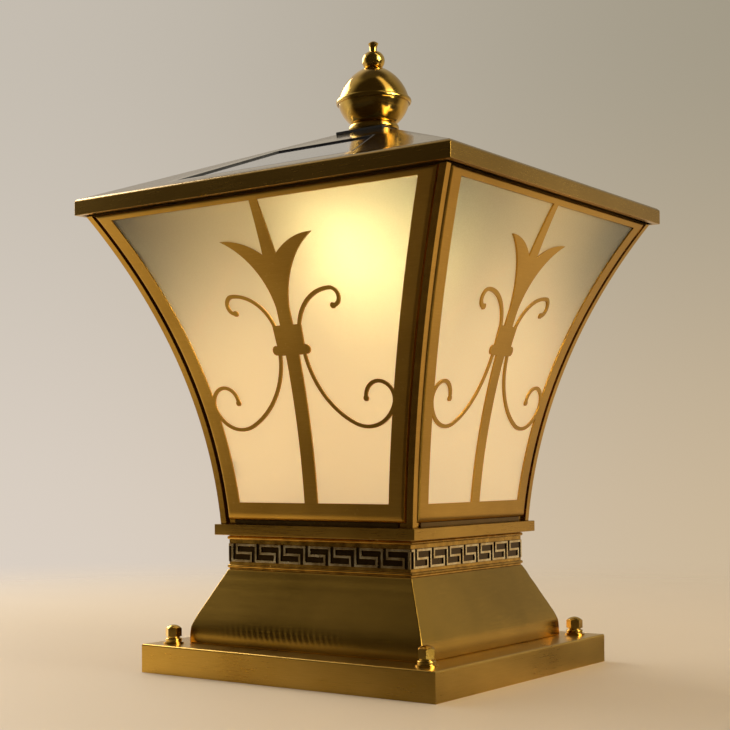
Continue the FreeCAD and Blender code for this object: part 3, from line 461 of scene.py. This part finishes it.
def flat_copy(node):
    """A merged copy with the triangles of each flat face joined too."""
    shape = merged_copy(node)
    bmesh.ops.dissolve_limit(shape, angle_limit=math.radians(0.2),
                             verts=shape.verts, edges=shape.edges)
    return shape


def turn(shape, quarter):
    turning = Matrix.Rotation(quarter * math.pi / 2, 3, "Z")
    bmesh.ops.rotate(shape, verts=shape.verts, cent=(0, 0, 0), matrix=turning)


def cut(shape, place, across, faces=None):
    """New edges where a plane crosses the shape, or only these faces of it."""
    if faces is None:
        parts = shape.verts[:] + shape.edges[:] + shape.faces[:]
    else:
        # each edge and corner once, in the order of the faces
        edges = dict.fromkeys(edge for face in faces for edge in face.edges)
        corners = dict.fromkeys(corner for face in faces for corner in face.verts)
        parts = list(corners) + list(edges) + faces
    bmesh.ops.bisect_plane(shape, geom=parts, dist=weld / 10, plane_co=place, plane_no=across)


def move_each(shape, where):
    for corner in shape.verts:
        corner.co = where(*corner.co)


def round_folds(shape, lies_there, width, segments=2):
    """Rounds the sharp edges whose ends both lie where the test says."""
    folds = [edge for edge in shape.edges
             if edge.calc_face_angle(0) > fold_angle
             and all(lies_there(*end.co) for end in edge.verts)]
    bmesh.ops.bevel(shape, geom=folds, offset=width, segments=segments, profile=0.5,
                    affect="EDGES", material=-1, clamp_overlap=True)


def show(shape, node, sharp_degrees=35):
    """Puts the shape in the node's place, on its body and in its finish."""
    mesh = bpy.data.meshes.new(node + "_formed")
    shape.normal_update()
    for face in shape.faces:
        face.smooth = True
    for edge in shape.edges:
        edge.smooth = edge.calc_face_angle(0) < math.radians(sharp_degrees)
    shape.to_mesh(mesh)
    shape.free()
    mesh.materials.append(finish_of(node))
    piece = bpy.data.objects.new(node + "_formed", mesh)
    bpy.context.scene.collection.objects.link(piece)
    even = piece.modifiers.new("even_shading", "WEIGHTED_NORMAL")
    even.keep_sharp = True
    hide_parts(node)
    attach(piece, body_of[node])


# ---- sheet pieces with their outermost edges rounded ----
def soften_rim(node, width):
    shape = flat_copy(node)
    reach = high(node).x - nearly
    round_folds(shape, lambda x, y, z: max(abs(x), abs(y)) > reach, width)
    show(shape, node)


def soften_key_band(face, quarter):
    node = "key_band_" + face
    shape = flat_copy(node)
    turn(shape, -quarter)
    relief_y = -key_plate_half - key_relief
    round_folds(shape, lambda x, y, z: abs(y - relief_y) < nearly, 0.22 * mm)
    turn(shape, quarter)
    show(shape, node)


soften_rim("roof_pan", 0.7 * mm)
soften_rim("ledge", 0.5 * mm)
soften_rim("plinth_ring", 0.4 * mm)
for quarter, face in enumerate(FACES):
    soften_key_band(face, quarter)


# ---- fretwork frames, their outer edges rolled back ----
roll_at_sides = 3.0 * mm
roll_at_foot = 5.5 * mm
roll_depth = 2.4 * mm
roll_steps = (0.04, 0.14, 0.3, 0.5, 0.75, 1.0)
slab = 7.0 * mm


def flared_half(z):
    """Half-width of the lantern's flared body."""
    return flare_centre_out - math.sqrt(flare_radius ** 2 - (z - flare_centre_z) ** 2)


def rolled(x, y, z):
    """A place on the front frame, sunk near the frame's outer edges as sheet folds over."""
    aside = (flared_half(z) - panel_margin - abs(x)) / roll_at_sides
    up = (z - panel_foot_z) / roll_at_foot
    down = (panel_top_z - z) / roll_at_sides
    near = min(max(min(aside, up, down), 0), 1)
    fall = roll_depth * (1 - math.sqrt(1 - (1 - near) ** 2))
    depth = y + flared_half(z)
    return (x, y + fall * max(0, 1 - depth / panel_edge_depth), z)


def cut_levels(shape):
    """Level cuts up the frame, made while it is drawn flat, so that they follow its flare."""
    count = math.ceil((panel_top_z - panel_foot_z) / slab)
    levels = [panel_foot_z + slab * step for step in range(1, count)]
    levels += [panel_foot_z + roll_at_foot * step for step in roll_steps]
    levels += [panel_top_z - roll_at_sides * step for step in roll_steps]
    move_each(shape, lambda x, y, z: (x / flared_half(z), y + flared_half(z), z))
    for level in levels:
        cut(shape, (0, 0, level), (0, 0, 1))
    move_each(shape, lambda x, y, z: (x * flared_half(z), y - flared_half(z), z))


def cut_beside(shape, side):
    """Cuts along one side of the frame, made while that side is drawn straight."""
    move_each(shape, lambda x, y, z: (x - side * flared_half(z), y, z))
    for step in roll_steps:
        cut(shape, (-side * (panel_margin + roll_at_sides * step), 0, 0), (1, 0, 0))
    move_each(shape, lambda x, y, z: (x + side * flared_half(z), y, z))


def roll_frame(face, quarter):
    node = "lattice_panel_" + face
    shape = merged_copy(node)
    turn(shape, -quarter)
    cut_levels(shape)
    cut_beside(shape, -1)
    cut_beside(shape, 1)
    bmesh.ops.dissolve_degenerate(shape, dist=sliver, edges=shape.edges)
    move_each(shape, rolled)
    turn(shape, quarter)
    show(shape, node, sharp_degrees=40)


for quarter, face in enumerate(FACES):
    roll_frame(face, quarter)


# ---- skirt: a soft bend above its lip, hand-worked corners and hammer ripples ----
skirt_lip_half = high("skirt").x
skirt_foot_z = low("skirt").z
skirt_top_z = high("skirt").z
skirt_lip_top_z = skirt_foot_z + 15 * mm
skirt_neck_half = 95.5 * mm
skirt_slab = 1.5 * mm
wall_room = 5 * mm
corner_room = 0.3 * mm
corner_width = 4 * mm
corner_dent = 0.22 * mm
dents_across = 20
dents_up = 160
bend_reach = 9.0 * mm
bend_depth = 0.9 * mm
ripple_pitch = 6.0 * mm
ripple_depth = 0.1 * mm
ripple_slant = 3
ripple_from = -96 * mm
ripple_to = 62 * mm
ripple_middle_z = skirt_lip_top_z - 2.0 * mm
ripple_half_height = 7.0 * mm
ripple_slab = 0.75 * mm


def skirt_half(z):
    rise = (z - skirt_lip_top_z) / (skirt_top_z - skirt_lip_top_z)
    return skirt_lip_half - (skirt_lip_half - skirt_neck_half) * max(0, rise)


def on_skirt_corner(x, y, z):
    """Whether a place lies on an outer corner edge, not on the sheet's inner one."""
    return abs(abs(x) - abs(y)) < nearly and abs(x) > skirt_half(z) - corner_room


def worked(x, y, z):
    """A place on the skirt after the bend, the corners' hand work and the ripples."""
    half = max(abs(x), abs(y))
    bend = max(0, 1 - abs(z - skirt_lip_top_z) / bend_reach) ** 2
    corner = max(0, 1 - abs(abs(x) - abs(y)) / corner_width)
    dents = noise.noise((x * dents_across, y * dents_across, z * dents_up))
    keep = 1 - (bend_depth * bend + corner_dent * corner * dents) / half
    if y < -skirt_neck_half + wall_room and ripple_from < x < ripple_to:
        along = (x - ripple_from) / (ripple_to - ripple_from)
        height = max(0, 1 - abs(z - ripple_middle_z) / ripple_half_height)
        slanted = x + (z - skirt_lip_top_z) / ripple_slant
        wave = math.sin(2 * math.pi * slanted / ripple_pitch)
        y += ripple_depth * wave * math.sin(math.pi * along) * height
    return (x * keep, y * keep, z)


def under_ripples(face):
    """Whether a face of the skirt's front wall lies where the ripples come."""
    near = abs(face.calc_center_median().z - ripple_middle_z) < ripple_half_height + 2 * mm
    return face.normal.y < -0.5 and near


def form_skirt():
    shape = flat_copy("skirt")
    round_folds(shape, on_skirt_corner, 1.0 * mm, segments=3)
    for count in range(1, math.ceil((skirt_top_z - skirt_foot_z) / skirt_slab)):
        cut(shape, (0, 0, skirt_foot_z + count * skirt_slab), (0, 0, 1))
    for count in range(math.ceil((ripple_to - ripple_from) / ripple_slab) + 1):
        rippled = [face for face in shape.faces if under_ripples(face)]
        cut(shape, (ripple_from + count * ripple_slab, 0, 0), (1, 0, 0), rippled)
    move_each(shape, worked)
    show(shape, "skirt")


form_skirt()


# ---- solar glass, raised in its seal ----
seal_width = 5.8 * mm
glass_slant = 0.1 * mm
glass_rise = 1.5 * mm


def raise_glass(face):
    node = "solar_panel_" + face
    shape = flat_copy(node)
    top = max(shape.faces, key=lambda side: side.normal.z * side.calc_area())
    bmesh.ops.inset_region(shape, faces=[top], thickness=seal_width, use_even_offset=True)
    bmesh.ops.inset_region(shape, faces=[top], thickness=glass_slant, depth=glass_rise,
                           use_even_offset=True)
    show(shape, node)


for face in FACES:
    raise_glass(face)


# ---- floor ----
floor_colour = shade(0.65, 0.55, 0.41)
floor_radius = 6


def mirrored_floor(finish, x, y, distance):
    """Painted light and shade in the mirrored floor: warm at the sides, dark near the camera."""
    nearer = x * toward_camera.x + y * toward_camera.y
    right_shade = x.ramp(0.10, 0.18) * y.ramp(-0.02, 0.16) * distance.ramp(0.62, 0.42)
    colour = finish.mix(x.ramp(-0.06, -0.20), floor_colour, shade(1.0, 0.88, 0.66))
    colour = finish.mix(x.ramp(0.32, 0.6), colour, shade(1.0, 0.80, 0.50))
    colour = finish.mix(nearer.ramp(0.0, 0.34), colour, shade(0.05, 0.035, 0.02))
    return finish.mix(right_shade, colour, shade(0.14, 0.11, 0.07))


def lay_floor():
    """A pale floor that fades into the backdrop, so that no horizon shows."""
    shape = bmesh.new()
    bmesh.ops.create_circle(shape, cap_ends=True, segments=96, radius=floor_radius)
    floor = bpy.data.objects.new("floor", bpy.data.meshes.new("floor"))
    shape.to_mesh(floor.data)
    shape.free()
    bpy.context.scene.collection.objects.link(floor)
    finish = Finish("pale_floor", Roughness=0.55)
    x, y, z = finish.axes()
    distance = (x * x + y * y) ** 0.5
    mirrored = mirrored_floor(finish, x, y, distance)
    # only metal sees the painted light and shade of the mirrored floor
    finish.give("Base Color", finish.mix(finish.ray("Glossy"), floor_colour, mirrored))
    far_off = distance.ramp(0.45, 1.6)
    finish.show_mixed(far_off, finish.node("BsdfTransparent", {}, {}))
    floor.data.materials.append(finish.material)


# ---- backdrop, mirrored room and light ----
window_turn = math.radians(5)
toward_window = (math.cos(window_turn), math.sin(window_turn), 0)
across_window = (-math.sin(window_turn), math.cos(window_turn), 0)
lantern_middle = Vector((0, 0, 0.25))


class Sky(Nodes):
    """The world's nodes, read by the direction in which a ray leaves."""

    def __init__(self, tree):
        super().__init__(tree)
        self.looking = self.node("TexCoord", {}, {}, "Generated")

    def along(self, direction):
        inputs = {0: self.looking, 1: direction}
        return self.node("VectorMath", {"operation": "DOT_PRODUCT"}, inputs, "Value")


def backdrop(sky, height):
    """What the camera sees behind the lantern: paler on the left, darker upwards."""
    rise = height.ramp(-0.1, 0.3)
    pale_side = sky.mix(rise, shade(0.71, 0.63, 0.55), shade(0.56, 0.51, 0.44))
    warm_side = sky.mix(rise, shade(0.61, 0.48, 0.32), shade(0.36, 0.32, 0.24))
    return sky.mix(sky.along(camera_right).ramp(-0.2, 0.36), pale_side, warm_side)


def mirrored_room(sky, height, behind):
    """What metal mirrors: the backdrop, a dark room by the camera and a window on the right."""
    room = sky.along(toward_camera).ramp(-0.33, 0.22).larger(height.ramp(0.8, 0.95) * 0.9)
    colour = sky.mix(room, behind, shade(0.03, 0.022, 0.012))
    window = (abs(sky.along(across_window)) + height * 0.35).ramp(0.45, 0.37)
    window = window * sky.along(toward_window).ramp(0.1, 0.3) * height.ramp(0.04, 0.12)
    daylight = sky.mix(height.ramp(0.45, 0.75), shade(6.0, 5.4, 4.0), shade(1.6, 1.35, 0.95))
    return sky.mix(window, colour, daylight)


def light_world():
    """Plain light all round; only the camera, glass and metal see the backdrop and the room."""
    world = bpy.data.worlds.new("studio")
    bpy.context.scene.world = world
    world.use_nodes = True
    sky = Sky(world.node_tree)
    height = sky.along((0, 0, 1))
    behind = backdrop(sky, height)
    seen = sky.ray("Camera").larger(sky.ray("Transmission"))
    colour = sky.mix(seen, shade(0.66, 0.57, 0.47), behind)
    colour = sky.mix(sky.ray("Glossy"), colour, mirrored_room(sky, height, behind))
    sky.feed(sky.tree.nodes["Background"].inputs["Color"], colour)


def softbox(name, where, size, power, colour):
    data = bpy.data.lights.new(name, "AREA")
    data.shape = "RECTANGLE"
    data.size, data.size_y = size
    data.energy = power
    data.color = colour
    lamp = bpy.data.objects.new(name, data)
    lamp.location = where
    aim = lantern_middle - Vector(where)
    lamp.rotation_euler = aim.to_track_quat("-Z", "Y").to_euler()
    bpy.context.scene.collection.objects.link(lamp)


lay_floor()
light_world()
softbox("left_key", (-1.9, 0.2, 1.3), (1.3, 1.3), 34, (1.0, 0.93, 0.84))
softbox("right_strip", (1.7, 0.15, 0.9), (0.2, 1.5), 10, (1.0, 0.9, 0.74))

bpy.context.scene.view_settings.view_transform = "Standard"
